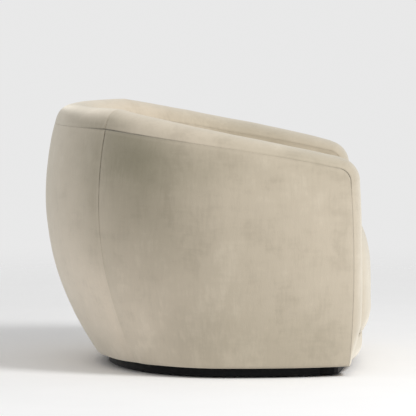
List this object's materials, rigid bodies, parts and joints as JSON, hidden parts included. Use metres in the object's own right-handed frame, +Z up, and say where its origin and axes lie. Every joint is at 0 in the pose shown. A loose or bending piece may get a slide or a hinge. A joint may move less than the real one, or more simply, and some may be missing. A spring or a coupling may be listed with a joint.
{
  "type": "cuddle chair",
  "caption": "Wide barrel cuddle chair: curved padded back and sloping arms under one domed band, deep loose seat cushion, recessed dark plinth.",
  "frame": {"origin": "on the floor, under the middle of the chair's bounding box", "axes": "+X to the sitter's left along the chair's width, -Y to the front, +Z up"},
  "size_m": [1.1798, 0.8999, 0.7107],
  "materials": {
    "velvet": "brushed pile",
    "plinth": "satin lacquer",
    "nylon": "matte",
    "plywood": "sawn",
    "beech": "planed",
    "steel": "drawn wire",
    "webbing": "woven",
    "felt": "needled",
    "cambric": "matte",
    "fibreboard": "matte"
  },
  "bodies": {
    "frame": {"outer_back_panel": "velvet", "outer_side_panel_left": "velvet", "outer_side_panel_right": "velvet", "inner_back_pad": "velvet", "inner_arm_pad_left": "velvet", "inner_arm_pad_right": "velvet", "back_band": "velvet", "arm_band_left": "velvet", "arm_band_right": "velvet", "front_rail_cover": "velvet", "plinth_front": "plinth", "plinth_back": "plinth", "plinth_side_left": "plinth", "plinth_side_right": "plinth", "glide_front_left": "nylon", "glide_front_right": "nylon", "glide_middle_left": "nylon", "glide_middle_right": "nylon", "glide_back_left": "nylon", "glide_back_right": "nylon", "base_board_front": "plywood", "base_board_back": "plywood", "base_board_left": "plywood", "base_board_right": "plywood", "arm_front_rib_left": "plywood", "arm_front_rib_right": "plywood", "arm_middle_rib_left": "plywood", "arm_middle_rib_right": "plywood", "arm_rear_rib_left": "plywood", "arm_rear_rib_right": "plywood", "corner_rib_left": "plywood", "corner_rib_right": "plywood", "back_rib_left": "plywood", "back_rib_right": "plywood", "arm_top_rail_left": "plywood", "arm_top_rail_right": "plywood", "back_top_rail": "plywood", "seat_rail_front": "beech", "seat_rail_back": "beech", "seat_rail_side_left": "beech", "seat_rail_side_right": "beech", "arm_front_post_left": "beech", "arm_front_post_right": "beech", "corner_block_left": "beech", "corner_block_right": "beech", "seat_spring_1": "steel", "seat_spring_2": "steel", "seat_spring_3": "steel", "seat_spring_4": "steel", "seat_spring_5": "steel", "seat_spring_6": "steel", "back_strap_1": "webbing", "back_strap_2": "webbing", "back_strap_3": "webbing", "seat_deck_pad": "felt", "dust_cover": "cambric", "arm_liner_left": "fibreboard", "arm_liner_right": "fibreboard"},
    "cushion": {"seat_cushion": "velvet"}
  },
  "joints": [
    {"name": "seat_cushion_lift", "type": "slide", "parent": "frame", "child": "cushion", "axis": [0, 0, 1], "range_m": [0, 0.63]}
  ]
}
